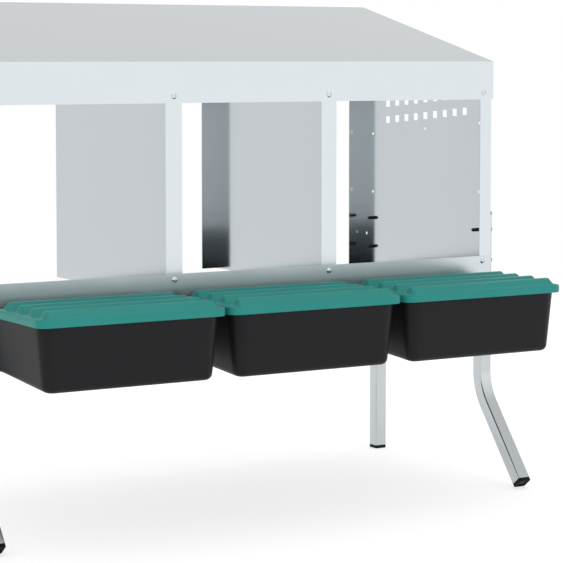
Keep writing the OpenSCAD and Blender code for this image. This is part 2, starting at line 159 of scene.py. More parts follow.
class NestSteel(bpy.types.PropertyGroup):
    """Zinc-coated sheet and tube"""
    sheet_colour: bpy.props.FloatVectorProperty(
        name="Sheet colour", description="Reflected colour of the zinc-coated sheet",
        default=(0.572, 0.610, 0.632), size=3, min=0, max=1, subtype="COLOR")
    sheet_roughness: bpy.props.FloatProperty(
        name="Sheet roughness", description="How far the sheet blurs what it reflects",
        default=0.14, min=0.05, max=0.6, subtype="FACTOR")
    rail_roughness: bpy.props.FloatProperty(
        name="Rail roughness", description="How far the duller rails blur what they reflect",
        default=0.3, min=0.05, max=0.6, subtype="FACTOR")
    tube_colour: bpy.props.FloatVectorProperty(
        name="Tube colour", description="Reflected colour of the zinc-coated tube",
        default=(0.510, 0.537, 0.553), size=3, min=0, max=1, subtype="COLOR")
    edge_ease: bpy.props.FloatProperty(
        name="Eased edge", description="How far the sheet's folded and cut edges are eased",
        default=0.3 * MM, min=0.05 * MM, max=0.45 * MM, unit="LENGTH")
    tube_corner: bpy.props.FloatProperty(
        name="Tube corner", description="Outer radius along the tube's edges",
        default=2.2 * MM, min=0.5 * MM, max=4 * MM, unit="LENGTH")
    tube_wall: bpy.props.FloatProperty(
        name="Tube wall", description="Thickness of the leg tube's wall",
        default=1.2 * MM, min=0.8 * MM, max=2 * MM, unit="LENGTH")


class NestStudio(bpy.types.PropertyGroup):
    """Camera, light and floor"""
    lens: bpy.props.FloatProperty(
        name="Lens", description="Focal length on a 36 mm wide sensor",
        default=136.48, min=35, max=300)
    fill: bpy.props.FloatProperty(
        name="Fill", description="Brightness of the even white light",
        default=1.0, min=0, max=3)


# ---------------------------------------------------------------- shapes

def smooth_step(t):
    """Rises from 0 to 1 as t does, as 3 t squared less 2 t cubed, and is level outside."""
    t = np.clip(t, 0.0, 1.0)
    return t * t * (3 - 2 * t)


class Skin:
    """Collects grids of points and flat caps, and makes one closed mesh of them."""

    def __init__(self):
        self.points = []
        self.faces = []
        self.count = 0

    def grid(self, points, wrap_u=False, wrap_v=False):
        """Adds a grid of points, shape (u, v, 3), as quads between neighbours."""
        rows, columns = points.shape[:2]
        u = np.arange(rows if wrap_u else rows - 1)[:, None]
        v = np.arange(columns if wrap_v else columns - 1)[None, :]
        u1, v1 = (u + 1) % rows, (v + 1) % columns
        corners = (u * columns + v, u1 * columns + v, u1 * columns + v1, u * columns + v1)
        quads = np.stack([c + 0 * (u + v) for c in corners], axis=-1).reshape(-1, 4)
        self.faces.extend((quads + self.count).tolist())
        self.points.append(points.reshape(-1, 3))
        self.count += rows * columns

    def cap(self, loop):
        """Adds one flat face round a closed loop of points, shape (n, 3)."""
        self.faces.append(list(range(self.count, self.count + len(loop))))
        self.points.append(loop)
        self.count += len(loop)

    def solid(self, rings):
        """Adds a stack of closed rings, shape (u, v, 3), with a flat cap at both ends."""
        self.grid(rings, wrap_v=True)
        self.cap(rings[0])
        self.cap(rings[-1])

    def piece(self, name, material, body, node, slot, sharp=32):
        """Merges the seams, turns the faces outwards and hangs the piece on a body; edges
        sharper than an angle, in degrees, stay sharp."""
        mesh = bpy.data.meshes.new(name)
        mesh.from_pydata(np.concatenate(self.points).tolist(), [], self.faces)
        work = bmesh.new()
        work.from_mesh(mesh)
        bmesh.ops.remove_doubles(work, verts=work.verts, dist=1e-6)
        bmesh.ops.dissolve_degenerate(work, edges=work.edges, dist=1e-7)
        bmesh.ops.recalc_face_normals(work, faces=work.faces)
        work.to_mesh(mesh)
        work.free()
        mesh.polygons.foreach_set("use_smooth", np.ones(len(mesh.polygons), bool))
        mesh.set_sharp_from_angle(angle=math.radians(sharp))
        mesh.materials.append(material)
        hang(bpy.data.objects.new(name, mesh), body, node)


def hang(thing, body, node):
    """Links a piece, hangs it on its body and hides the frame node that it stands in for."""
    bpy.context.scene.collection.objects.link(thing)
    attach(thing, body)
    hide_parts(node)


def arc(start, end, steps):
    """Angles from start to end, both included."""
    return np.linspace(start, end, steps + 1)


def loop_normals(loop):
    """Outward normals of a closed anticlockwise loop in x and y: the tangent turned
    clockwise by a right angle."""
    tangent = np.roll(loop, -1, axis=0) - np.roll(loop, 1, axis=0)
    tangent /= np.linalg.norm(tangent, axis=1, keepdims=True)
    return np.stack([tangent[:, 1], -tangent[:, 0]], axis=1)


def soft_square(side, radius, steps=5):
    """A square with round corners, centred, anticlockwise: four quarter circles whose
    centres lie one radius in from both sides."""
    centre = side / 2 - radius
    turns = arc(0, math.pi / 2, steps)[None, :] + (math.pi / 2) * np.arange(4)[:, None]
    signs = np.array([[1, 1], [-1, 1], [-1, -1], [1, -1]])
    x = centre * signs[:, :1] + radius * np.cos(turns)
    y = centre * signs[:, 1:] + radius * np.sin(turns)
    return np.stack([x.ravel(), y.ravel()], axis=1)


def around(steps):
    """Angles of evenly spaced points once round a circle."""
    return np.arange(steps) * TAU / steps


def circle(axis, angle):
    """Unit circle across a level axis: the cosine of the angle along the way that is
    square to the axis and to the upright, plus its sine along the way square to both."""
    side = np.cross(axis, UP)
    side /= np.linalg.norm(side)
    return np.cos(angle)[..., None] * side + np.sin(angle)[..., None] * np.cross(axis, side)


def revolve(profile, centre, axis, steps):
    """Turns a profile of (radius, height) round a level axis through a centre: the point
    is the centre, plus height along the axis, plus radius times the unit circle."""
    profile = np.asarray(profile)[:, :, None, None]
    return centre + profile[:, 1] * axis + profile[:, 0] * circle(axis, around(steps))


def middle_at(low, high, axis, place):
    """Middle of a box, moved along one axis to a given place."""
    centre = (low + high) / 2
    centre[axis] = place
    return centre


# ---------------------------------------------------------------- shader tools

class Value:
    """A socket, or anything computed from sockets, that arithmetic turns into nodes."""

    def __init__(self, finish, socket):
        self.finish = finish
        self.socket = socket

    def _math(self, operation, first, second):
        made = self.finish.node("ShaderNodeMath", {"operation": operation},
                                {0: first, 1: second})
        return Value(self.finish, made.outputs[0])

    def __add__(self, other):
        return self._math("ADD", self, other)

    def __sub__(self, other):
        return self._math("SUBTRACT", self, other)

    def __rsub__(self, other):
        return self._math("SUBTRACT", other, self)

    def __mul__(self, other):
        return self._math("MULTIPLY", self, other)

    def __pow__(self, other):
        return self._math("POWER", self, other)

    __radd__ = __add__
    __rmul__ = __mul__


class Finish:
    """A material or a world under construction: its shader and the tools to feed it."""

    def __init__(self, owner):
        world = isinstance(owner, bpy.types.World)
        self.material = owner if world else bpy.data.materials.new(owner)
        self.material.use_nodes = True
        self.tree = self.material.node_tree
        self.tree.nodes.clear()
        kinds = (("ShaderNodeOutputWorld", "ShaderNodeBackground") if world
                 else ("ShaderNodeOutputMaterial", "ShaderNodeBsdfPrincipled"))
        output, self.shader = (self.tree.nodes.new(kind) for kind in kinds)
        self.tree.links.new(self.shader.outputs[0], output.inputs["Surface"])
        self.place = self.node("ShaderNodeTexCoord").outputs["Object"]

    def plug(self, socket, value):
        """Links a socket or Value, or sets a number or colour on the socket itself."""
        if isinstance(value, Value):
            value = value.socket
        if isinstance(value, bpy.types.NodeSocket):
            self.tree.links.new(value, socket)
        else:
            socket.default_value = value

    def node(self, kind, settings=None, inputs=None):
        """Adds a node: its settings first, then the values or links of its sockets."""
        made = self.tree.nodes.new(kind)
        for key, value in (settings or {}).items():
            setattr(made, key, value)
        for key, value in (inputs or {}).items():
            self.plug(made.inputs[key], value)
        return made

    def noise(self, scale, stretch=(1, 1, 1), detail=3.0, roughness=0.5):
        """Noise on the object's own place, stretched along its axes, from 0 to 1."""
        spread = self.node("ShaderNodeMapping", inputs={"Vector": self.place, "Scale": stretch})
        made = self.node("ShaderNodeTexNoise", inputs={
            "Vector": spread.outputs[0], "Scale": scale, "Detail": detail, "Roughness": roughness})
        return Value(self, made.outputs[0])

    def along(self, vector, way):
        """How far a vector points along a way: their dot product."""
        made = self.node("ShaderNodeVectorMath", {"operation": "DOT_PRODUCT"},
                         {0: vector, 1: way})
        return Value(self, made.outputs["Value"])

    def ramp(self, value, start, end):
        """Rises smoothly from 0 at the start to 1 at the end."""
        made = self.node("ShaderNodeMapRange", {"interpolation_type": "SMOOTHSTEP"},
                         {"Value": value, "From Min": start, "From Max": end})
        return Value(self, made.outputs[0])

    def mix(self, factor, first, second):
        """Mixes two colours by a factor."""
        made = self.node("ShaderNodeMix", {"data_type": "RGBA"},
                         {0: factor, 6: first, 7: second})
        return made.outputs[2]

    def bump(self, height, strength, distance):
        """Tilts the surface by a height, given in metres at full strength."""
        made = self.node("ShaderNodeBump", inputs={
            "Height": height, "Strength": strength, "Distance": distance})
        self.plug(self.shader.inputs["Normal"], made.outputs[0])

    def set(self, **inputs):
        """Feeds the shader's own sockets, named with _ for a space."""
        for key, value in inputs.items():
            self.plug(self.shader.inputs[key.replace("_", " ")], value)


def rgba(colour, gain=1.0):
    """A colour with its full alpha, made lighter or darker by a gain."""
    return (*(min(1.0, c * gain) for c in colour[:3]), 1.0)


def zinc_sheet(name, colour, roughness, grain=(1, 14, 14)):
    """Zinc-coated steel: faint rolling streaks along the sheet and a soft cloudiness."""
    finish = Finish(name)
    streaks = finish.noise(22, stretch=grain, detail=4, roughness=0.6)
    cloud = finish.noise(9, detail=2)
    fine = finish.noise(900, stretch=(1, 6, 6), detail=2)
    finish.set(
        Base_Color=finish.mix(streaks * 0.6 + cloud * 0.4,
                              rgba(colour, 0.975), rgba(colour, 1.025)),
        Metallic=1.0,
        Roughness=roughness - 0.03 + streaks * 0.04 + cloud * 0.02,
    )
    finish.bump(fine * 0.6 + streaks * 0.4, strength=0.08, distance=0.04 * MM)
    return finish.material


def bright_zinc(name, colour, roughness):
    """Bright zinc plate on small fasteners, a little uneven."""
    finish = Finish(name)
    cloud = finish.noise(260, detail=3)
    finish.set(
        Base_Color=finish.mix(cloud, rgba(colour, 0.92), rgba(colour, 1.04)),
        Metallic=1.0,
        Roughness=roughness - 0.04 + cloud * 0.08,
    )
    finish.bump(cloud, strength=0.15, distance=0.05 * MM)
    return finish.material


def moulded_plastic(name, colour, roughness, grain_depth, specular):
    """Moulded polypropylene: a fine spark-eroded grain, soft flow clouds and satin gloss."""
    finish = Finish(name)
    grain = finish.noise(1500, detail=2, roughness=0.6)
    cloud = finish.noise(14, stretch=(1, 2, 2), detail=3)
    finish.set(
        Base_Color=finish.mix(cloud, rgba(colour, 0.93), rgba(colour, 1.07)),
        Roughness=roughness - 0.05 + cloud * 0.06 + grain * 0.05,
        Specular_IOR_Level=specular,
        IOR=1.49,
    )
    finish.bump(grain, strength=0.35, distance=grain_depth)
    return finish.material


def blackened_steel(name):
    """Blackened bolts, with bare bright metal showing through on the worn crests."""
    finish = Finish(name)
    cloud = finish.noise(420, detail=4)
    finish.set(
        Base_Color=finish.mix(cloud ** 3.0, (0.035, 0.035, 0.038, 1), (0.16, 0.16, 0.17, 1)),
        Metallic=0.85,
        Roughness=0.34 + cloud * 0.16,
    )
    finish.bump(cloud, strength=0.2, distance=0.06 * MM)
    return finish.material


MATERIALS = {}


def make_materials():
    """Makes each finish once."""
    scene = bpy.context.scene
    steel, trays, lids = scene.nest_steel, scene.nest_trays, scene.nest_lids
    MATERIALS.update(
        sheet=zinc_sheet("zinc_sheet", steel.sheet_colour, steel.sheet_roughness),
        rail=zinc_sheet("zinc_rail", steel.sheet_colour, steel.rail_roughness),
        tube=zinc_sheet("zinc_tube", steel.tube_colour, roughness=0.2, grain=(14, 14, 1)),
        lid=moulded_plastic("lid_plastic", lids.colour, roughness=0.36,
                            grain_depth=0.04 * MM, specular=0.18),
        tray=moulded_plastic("tray_plastic", trays.colour, roughness=0.42,
                             grain_depth=0.06 * MM, specular=0.17),
        plug=moulded_plastic("plug_plastic", (0.004, 0.004, 0.0045), roughness=0.45,
                             grain_depth=0.05 * MM, specular=0.12),
        zinc=bright_zinc("bright_zinc", (0.78, 0.80, 0.82), roughness=0.2),
        dark=blackened_steel("blackened_steel"),
    )


# ---------------------------------------------------------------- fasteners

def pan_head(skin, centre, axis, radius, height):
    """Domed head with a cross recess: on a disc of radius r the height is the brim, plus
    the rest times 1 less r to the power 2.6, less the recess where the point lies in
    either arm of the cross."""
    brim, recess = 0.25, 0.62
    half, length, side_fall, end_fall = 0.17, 0.58, 0.07, 0.12

    def arm(across, along):
        """1 within one arm of the cross, falling smoothly to 0 at its sides and ends."""
        return (smooth_step((half - np.abs(across)) / side_fall)
                * smooth_step((length - np.abs(along)) / end_fall))

    reach = np.concatenate([[1e-4], np.linspace(0.05, 0.62, 16), np.linspace(0.68, 1.0, 9)])
    r = reach[:, None]
    angle = around(64)
    x, y = r * np.cos(angle), r * np.sin(angle)
    rise = brim + (1 - brim) * (1 - r ** 2.6) - recess * np.maximum(arm(y, x), arm(x, y))
    ring = radius * circle(axis, angle)
    top = centre + r[..., None] * ring + height * rise[..., None] * axis
    skin.solid(np.concatenate([top, [centre + ring, centre + 0.4 * ring]]))


def thread(skin, start, axis, radius, length, pitch, per_turn=8):
    """Threaded shank: at angle a and length s the radius swings by a triangle wave of
    s / pitch - a / turn, and it shrinks to a blunt end over the last turn."""
    root, tip = 0.84, 0.78
    rows = max(4, int(length / pitch * per_turn))
    s = np.linspace(0, length, rows + 1)[:, None]
    a = around(24)
    swing = 1 - np.abs(2 * ((s / pitch - a / TAU) % 1.0) - 1)
    fade = smooth_step((length - s) / (1.2 * pitch)) * smooth_step(s / pitch)
    r = radius * (root + (1 - root) * swing) * (tip + (1 - tip) * fade)
    skin.solid(start + s[..., None] * axis + r[..., None] * circle(axis, a))


def hexagon(skin, centre, axis, flat, height, bore=None):
    """Hexagon head, or nut with a bore: the radius is the half width over the cosine of
    the angle from the nearest flat's middle, with its corners cut back at both ends."""
    angle = around(72)
    corner = flat / np.cos((angle + math.pi / 6) % (math.pi / 3) - math.pi / 6)
    capped = 0.98 * np.minimum(corner, flat * 1.02)
    inner = np.full(72, bore or flat * 0.3)
    rows = [(inner, 0.0), (capped, 0.0), (corner, 0.12), (corner, 0.88), (capped, 1.0),
            (inner, 1.0)]
    ring = circle(axis, angle)
    grid = np.stack([centre + r[:, None] * ring + h * height * axis for r, h in rows])
    if bore:
        skin.grid(grid, wrap_u=True, wrap_v=True)
    else:
        skin.solid(grid)


def islands(node):
    """The low and the high corner of each separate solid of a frame node."""
    work = bmesh.new()
    work.from_mesh(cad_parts[node].data)
    bmesh.ops.remove_doubles(work, verts=work.verts, dist=1e-6)
    left, found = set(work.verts), []
    while left:
        edge, group = [left.pop()], []
        while edge:
            vert = edge.pop()
            group.append(tuple(vert.co))
            for link in vert.link_edges:
                near = link.other_vert(vert)
                if near in left:
                    left.remove(near)
                    edge.append(near)
        points = np.array(group)
        found.append((points.min(axis=0), points.max(axis=0)))
    work.free()
    return sorted(found, key=lambda box: tuple(np.round(box[0], 4)))


# ---------------------------------------------------------------- operators

SHEETS = {"roof": "roof_sheet", "end_wall_left": "end_sheet_left",
          "end_wall_right": "end_sheet_right", "partition_left": "divider_left",
          "partition_right": "divider_right", "front_rail": "front_rail_sheet",
          "rear_rail": "rear_rail_sheet", "front_tray_bar": "front_bar_tube",
          "rear_tray_bar": "rear_bar_tube"}


class BuildSheets(bpy.types.Operator):
    """Finish the folded sheets and the tray bars: copies with eased edges, in zinc"""
    bl_idname = "nest.sheets"
    bl_label = "Sheet steel"

    def execute(self, context):
        ease = context.scene.nest_steel.edge_ease
        for node, name in SHEETS.items():
            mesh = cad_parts[node].data.copy()
            mesh.name = name
            work = bmesh.new()
            work.from_mesh(mesh)
            bmesh.ops.remove_doubles(work, verts=work.verts, dist=2e-6)
            bmesh.ops.dissolve_limit(work, angle_limit=math.radians(0.5),
                                     verts=work.verts, edges=work.edges)
            bmesh.ops.recalc_face_normals(work, faces=work.faces)
            work.to_mesh(mesh)
            work.free()
            mesh.materials.clear()
            mesh.materials.append(MATERIALS["rail" if "rail" in node else "sheet"])
            mesh.polygons.foreach_set("use_smooth", np.zeros(len(mesh.polygons), bool))
            thing = bpy.data.objects.new(name, mesh)
            bevel = thing.modifiers.new("eased_edges", "BEVEL")
            bevel.width = ease
            bevel.segments = 2
            bevel.limit_method = "ANGLE"
            bevel.angle_limit = math.radians(35)
            hang(thing, "box", node)
        return {"FINISHED"}


def leg_path(low, high, front):
    """Middle line of a leg, from its foot up, with the tangent at each point: straight
    for a rear leg; for a front leg a slanted line, an arc of the bend, and a straight."""
    side = high[0] - low[0]
    x = (low[0] + high[0]) / 2
    if not front:
        y = (low[1] + high[1]) / 2
        points = np.linspace([x, y, low[2]], [x, y, high[2]], 12)
        return points, np.tile(UP, (12, 1))
    y_top = high[1] - side / 2
    foot = np.array([x, low[1] + side / 2 * math.cos(KICK), low[2] + side / 2 * math.sin(KICK)])
    corner_z = foot[2] + (y_top - foot[1]) / math.tan(KICK)
    bend_z = corner_z + BEND_RADIUS * math.tan(KICK / 2)
    turn = arc(KICK, 0, BEND_STEPS)
    bend = np.stack([np.full(len(turn), x), y_top - BEND_RADIUS + BEND_RADIUS * np.cos(turn),
                     bend_z - BEND_RADIUS * np.sin(turn)], axis=1)
    tangent = np.stack([0 * turn, np.sin(turn), np.cos(turn)], axis=1)
    down = np.linspace(foot, bend[0], 10)[:-1]
    up = np.linspace(bend[-1], [x, y_top, high[2]], 12)[1:]
    points = np.concatenate([down, bend, up])
    tangents = np.concatenate([np.tile(tangent[0], (len(down), 1)), tangent,
                               np.tile(UP, (len(up), 1))])
    return points, tangents


class BuildLegs(bpy.types.Operator):
    """Sweep the square tube of each leg along its straight or bent line"""
    bl_idname = "nest.legs"
    bl_label = "Legs"

    def execute(self, context):
        steel = context.scene.nest_steel
        for node in ("leg_front_left", "leg_front_right", "leg_rear_left", "leg_rear_right"):
            low, high = np.array(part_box(node))
            side = high[0] - low[0]
            points, tangents = leg_path(low, high, "front" in node)
            along = np.cross(tangents, ALONG_X)
            skin = Skin()
            shells = []
            for wall in (0, steel.tube_wall):
                section = soft_square(side - 2 * wall, steel.tube_corner - wall)
                shells.append(points[:, None, :] + section[None, :, :1] * ALONG_X
                              + section[None, :, 1:] * along[:, None, :])
                skin.grid(shells[-1], wrap_v=True)
            for end in (0, -1):
                skin.grid(np.stack([shell[end] for shell in shells]), wrap_v=True)
            skin.piece(node + "_tube", MATERIALS["tube"], "box", node, "leg_steel")
        return {"FINISHED"}


def end_plug(skin, centre, out, side, plate):
    """Moulded end plug: square rings with round corners, from the peg in the tube to the
    plate's edge, over its rounded rim and down into the shallow recess of its face."""
    along = np.cross(out, ALONG_X)
    rows = [(side - 6 * MM, 1.2 * MM, -12 * MM), (side - 3 * MM, 1.2 * MM, -10 * MM),
            (side - 2.8 * MM, 1.4 * MM, 0), (side - 0.3 * MM, 2.2 * MM, 0),
            (side, 2.4 * MM, 0.4 * MM), (side, 2.4 * MM, plate - 1.2 * MM),
            (side - 0.7 * MM, 2.1 * MM, plate - 0.4 * MM), (side - 2.2 * MM, 1.9 * MM, plate),
            (side - 5 * MM, 1.5 * MM, plate), (side - 6 * MM, 1.4 * MM, plate - 0.4 * MM),
            (side - 6.6 * MM, 1.3 * MM, plate - 1.6 * MM)]
    rings = []
    for width, corner, height in rows:
        flat = soft_square(width, corner)
        rings.append(centre + flat[:, :1] * ALONG_X + flat[:, 1:] * along + height * out)
    skin.solid(np.stack(rings))


class BuildPlugs(bpy.types.Operator):
    """Mould the four feet and the four caps of the leg tubes"""
    bl_idname = "nest.plugs"
    bl_label = "End plugs"

    def execute(self, context):
        for place in ("front_left", "front_right", "rear_left", "rear_right"):
            low, high = np.array(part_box("leg_" + place))
            points, tangents = leg_path(low, high, "front" in place)
            side = high[0] - low[0]
            foot_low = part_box("foot_" + place)[0]
            cap_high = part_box("cap_" + place)[1]
            tilt = side / 2 * abs(tangents[0][1])
            plate = (points[0][2] - foot_low[2] - tilt) / tangents[0][2]
            skin = Skin()
            end_plug(skin, points[0], -tangents[0], side, plate)
            skin.piece("foot_plug_" + place, MATERIALS["plug"], "box", "foot_" + place,
                       "end_plug_plastic")
            skin = Skin()
            end_plug(skin, points[-1], UP, side, cap_high[2] - high[2])
            skin.piece("cap_plug_" + place, MATERIALS["plug"], "box", "cap_" + place,
                       "end_plug_plastic")
        return {"FINISHED"}


def tray_outline(low, high, trays, trough_back):
    """Outline of a tray at its rim, anticlockwise from the middle of its front, as x, y
    and the unit normal: straight edges, large front corners and smaller back corners,
    with sides that draw in where the trough ends and the bed begins."""
    half = (high[0] - low[0]) / 2 - trays.rim
    middle = (high[0] + low[0]) / 2
    front, back = low[1] + trays.rim, high[1] - 2 * MM
    r1, r2 = trays.corner, BACK_CORNER
    step, settled = trough_back - 12 * MM, trough_back + 24 * MM
    pieces = []
    x = np.linspace(0, half - r1, 20)[:-1]
    pieces.append(np.stack([x, np.full(len(x), front)], axis=1))
    a = arc(-math.pi / 2, 0, 16)
    pieces.append(np.stack([half - r1 + r1 * np.cos(a), front + r1 + r1 * np.sin(a)], axis=1))
    y = np.concatenate([np.linspace(front + r1, step, 30)[1:-1], np.linspace(step, settled, 30),
                        np.linspace(settled, back - r2, 40)[1:]])
    pull = BED_NARROWER * smooth_step((y - trough_back + 4 * MM) / (24 * MM))
    pieces.append(np.stack([half - pull, y], axis=1))
    a = arc(0, math.pi / 2, 12)[1:]
    turn_x = half - BED_NARROWER - r2
    pieces.append(np.stack([turn_x + r2 * np.cos(a), back - r2 + r2 * np.sin(a)], axis=1))
    x = np.linspace(turn_x, 0, 20)[1:]
    pieces.append(np.stack([x, np.full(len(x), back)], axis=1))
    right = np.concatenate(pieces)
    left = right[1:-1][::-1] * np.array([-1, 1])
    outline = np.concatenate([right, left])
    normals = loop_normals(outline)
    outline[:, 0] += middle
    return outline, normals


def tray_skin(skin, low, high, trays, hinge, rim_top):
    """One tray: at each point of its outline a section runs from the floor's underside
    round the outer radius, up the drafted wall, round the rim, down inside and round the
    inner radius to the floor. The floor lies on a plane that falls to the front, and the
    wall's top steps down behind the trough."""
    trough_back = hinge[1] + TROUGH_PAST_HINGE
    outline, normals = tray_outline(low, high, trays, trough_back)
    fall = math.tan(trays.slope)
    datum = low[1] + trays.rim + trays.draft

    def floor_at(y):
        """Height of the floor's underside: a plane that rises to the back."""
        return low[2] + (y - datum) * fall - FLOOR_SETTLE

    r, wall, rim = trays.floor_round, trays.wall, trays.rim
    behind = smooth_step((outline[:, 1] - trough_back + 3 * MM) / (15 * MM))
    draft = trays.draft * (1 - behind) + 3 * MM * behind
    rim_t = 3 * MM * (1 - behind) + 2 * MM * behind
    bed_top = floor_at(outline[:, 1]) + trays.bed_height
    top = rim_top * (1 - behind) + bed_top * behind
    rows = []

    def add(offset, z=None, up=None):
        """A ring of points, moved out along the normals; up is above the floor plane."""
        flat = outline + normals * np.reshape(offset, (-1, 1))
        if z is None:
            z = floor_at(flat[:, 1]) + up
        rows.append(np.column_stack([flat, z]))

    for a in arc(0, math.pi / 2, 7):
        add(-draft - r + r * math.sin(a), up=r * (1 - math.cos(a)))
    for share in (0.25, 0.5, 0.75, 1.0):
        start = floor_at(outline[:, 1]) + r
        add(-draft * (1 - share), z=start + (top - rim_t - 0.6 * MM - start) * share)
    add(0.5 * MM, z=top - rim_t)
    add(rim - 0.5 * MM, z=top - rim_t)
    add(rim, z=top - rim_t + 0.5 * MM)
    add(rim, z=top - 0.9 * MM)
    add(rim - 0.9 * MM, z=top)
    add(-wall + 0.6 * MM, z=top)
    add(-wall, z=top - 0.6 * MM)
    inner = r - wall
    for share in (0.33, 0.66, 1.0):
        end = floor_at(outline[:, 1]) + wall + inner
        add(-wall - draft * share, z=top - 0.6 * MM + (end - top + 0.6 * MM) * share)
    for a in arc(0, math.pi / 2, 6)[1:]:
        add(-wall - draft - inner * (1 - math.cos(a)), up=wall + inner * (1 - math.sin(a)))
    skin.solid(np.stack(rows))
    bridge(skin, low, high, trays, trough_back, rim_top, floor_at(trough_back) + EGG_GAP)


def bridge(skin, low, high, trays, back, top, bottom):
    """Wall across the tray above the egg gap: a rounded strip carried along X."""
    t = trays.wall
    half = (high[0] - low[0]) / 2 - trays.rim - 0.8 * MM
    middle = (low[0] + high[0]) / 2
    turn = arc(math.pi, TAU, 8)
    under = np.stack([back - t / 2 + t / 2 * np.cos(turn),
                      bottom + t / 2 + t / 2 * np.sin(turn)], 1)
    over = np.array([[back, top - 3 * MM], [back + trays.rim, top - 3 * MM],
                     [back + trays.rim, top - 0.6 * MM], [back + trays.rim - 0.6 * MM, top],
                     [back - t + 0.5 * MM, top], [back - t, top - 0.5 * MM]])
    profile = np.concatenate([under, over])
    prism(skin, profile, middle - half, middle + half)


def prism(skin, profile, x0, x1):
    """A closed outline in y and z carried along X from x0 to x1, with flat ends."""
    skin.solid(np.stack([np.column_stack([np.full(len(profile), x), profile])
                         for x in (x0, x1)]))


def knuckle(skin, x0, x1, hinge, radius, root_y, root_low, root_high):
    """Hinge barrel with a web to its part: the barrel's circle, opened towards the root,
    and the two root corners, carried along X."""
    away = 1 if root_y > hinge[1] else -1
    turn = arc(math.pi / 2, 3 * math.pi / 2, 20)
    barrel = np.stack([hinge[1] + away * radius * np.cos(turn),
                       hinge[2] + radius * np.sin(turn)], 1)
    root = np.array([[root_y, root_low], [root_y, root_high]])
    prism(skin, np.concatenate([barrel, root]), x0, x1)


class BuildTrays(bpy.types.Operator):
    """Mould the three trays, each one shell of trough and bed with its hinge ears"""
    bl_idname = "nest.trays"
    bl_label = "Egg trays"

    def execute(self, context):
        trays = context.scene.nest_trays
        for bay in BAYS:
            low, high = np.array(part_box("tray_" + bay))
            pin_low, pin_high = np.array(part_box("hinge_pin_" + bay))
            hinge = (pin_low + pin_high) / 2
            skin = Skin()
            rim_top = high[2] - RIM_BELOW_TOP
            tray_skin(skin, low, high, trays, hinge, rim_top)
            barrel = high[2] - hinge[2]
            for sign in (-1, 1):
                end = hinge[0] + sign * ((pin_high[0] - pin_low[0]) / 2 + 2.5 * MM)
                knuckle(skin, end - sign * EAR_WIDTH, end, hinge, barrel,
                        hinge[1] + 10 * MM, rim_top - 2.5 * MM, rim_top - 0.2 * MM)
            skin.piece("tray_shell_" + bay, MATERIALS["tray"], bay + "_tray", "tray_" + bay,
                       "tray_plastic")
        return {"FINISHED"}


def lid_height(x, y, lids, crests, rib_height, end):
    """Height of the ribs above the lid's flat margin: it depends on the distance to the
    rib's spine as a share of the half width across it, and of the shorter round end past
    the end of it; level on the spine, it falls along a smooth flank."""
    past = np.maximum(np.abs(x) - end + lids.rib_margin + lids.rib_end, 0.0) / lids.rib_end
    height = np.zeros_like(x)
    for crest in crests:
        far = np.hypot(past, (y - crest) / lids.rib_half)
        crown = 1 - 0.12 * np.clip(far, 0, 1) ** 2
        height = np.maximum(height, crown * smooth_step((1 - far) / lids.rib_slope))
    return rib_height * height


def border_of(grid):
    """The outer points of a grid, in one loop."""
    return np.concatenate([grid[0, :-1], grid[:-1, -1], grid[-1, :0:-1], grid[:0:-1, 0]])


def lid_skin(skin, low, high, lids, back):
    """One lid: a grid of rows from front to back, each row as wide as the rounded outline
    there, lifted by the ribs; the same grid again, one wall lower; and between the two,
    rings down the rounded edge and the skirt, round its foot, which is cut up at the
    back, and up inside."""
    edge = lids.edge_round
    half = (high[0] - low[0]) / 2 - edge
    middle = (high[0] + low[0]) / 2
    front, rear = low[1] + edge, back - edge
    radius = lids.corner - edge
    turn = arc(0, math.pi / 2, 14)
    rows = np.concatenate([front + radius * (1 - np.cos(turn)),
                           np.linspace(front + radius, rear - radius, 110)[1:-1],
                           (rear - radius * (1 - np.cos(turn)))[::-1]])
    inset = radius * (1 - np.sin(turn))
    inset = np.concatenate([inset, np.zeros(108), inset[::-1]])
    share = np.concatenate([np.linspace(-1, -0.7, 38)[:-1], np.linspace(-0.7, 0.7, 26),
                            np.linspace(0.7, 1, 38)[1:]])
    x = share[None, :] * (half - inset)[:, None]
    y = np.repeat(rows[:, None], len(share), axis=1)
    crests = (low[1] + back) / 2 + (np.arange(4) - 1.5) * lids.rib_pitch
    flange = low[2] + lids.skirt
    lift = lid_height(x, y, lids, crests, high[2] - flange, half + edge)
    top = np.stack([x + middle, y, flange + lift], axis=-1)
    below = top - np.array([0, 0, lids.wall])
    skin.grid(top)
    skin.grid(below)
    loop = border_of(top)
    normals = loop_normals(loop[:, :2])
    foot = low[2] + lids.rear_lift * smooth_step((loop[:, 1] - back + lids.corner) / (2 * MM))
    rings = [loop]
    for a in arc(0, math.pi / 2, 6)[1:]:
        rings.append(ring_at(loop, normals, edge * math.sin(a), flange - edge * (1 - math.cos(a))))
    for offset, z in ((edge, foot + 0.7 * MM), (edge - 0.3 * MM, foot + 0.15 * MM),
                      (edge - 0.8 * MM, foot), (edge - lids.wall + 0.4 * MM, foot),
                      (edge - lids.wall, foot + 0.4 * MM),
                      (edge - lids.wall, flange - lids.wall - 0.6 * MM)):
        rings.append(ring_at(loop, normals, offset, z))
    rings.append(border_of(below))
    skin.grid(np.stack(rings), wrap_v=True)


def ring_at(loop, normals, offset, z):
    """A loop moved out along its normals, at one height or at one for each point."""
    flat = loop[:, :2] + normals * offset
    return np.column_stack([flat, np.broadcast_to(z, len(loop))])


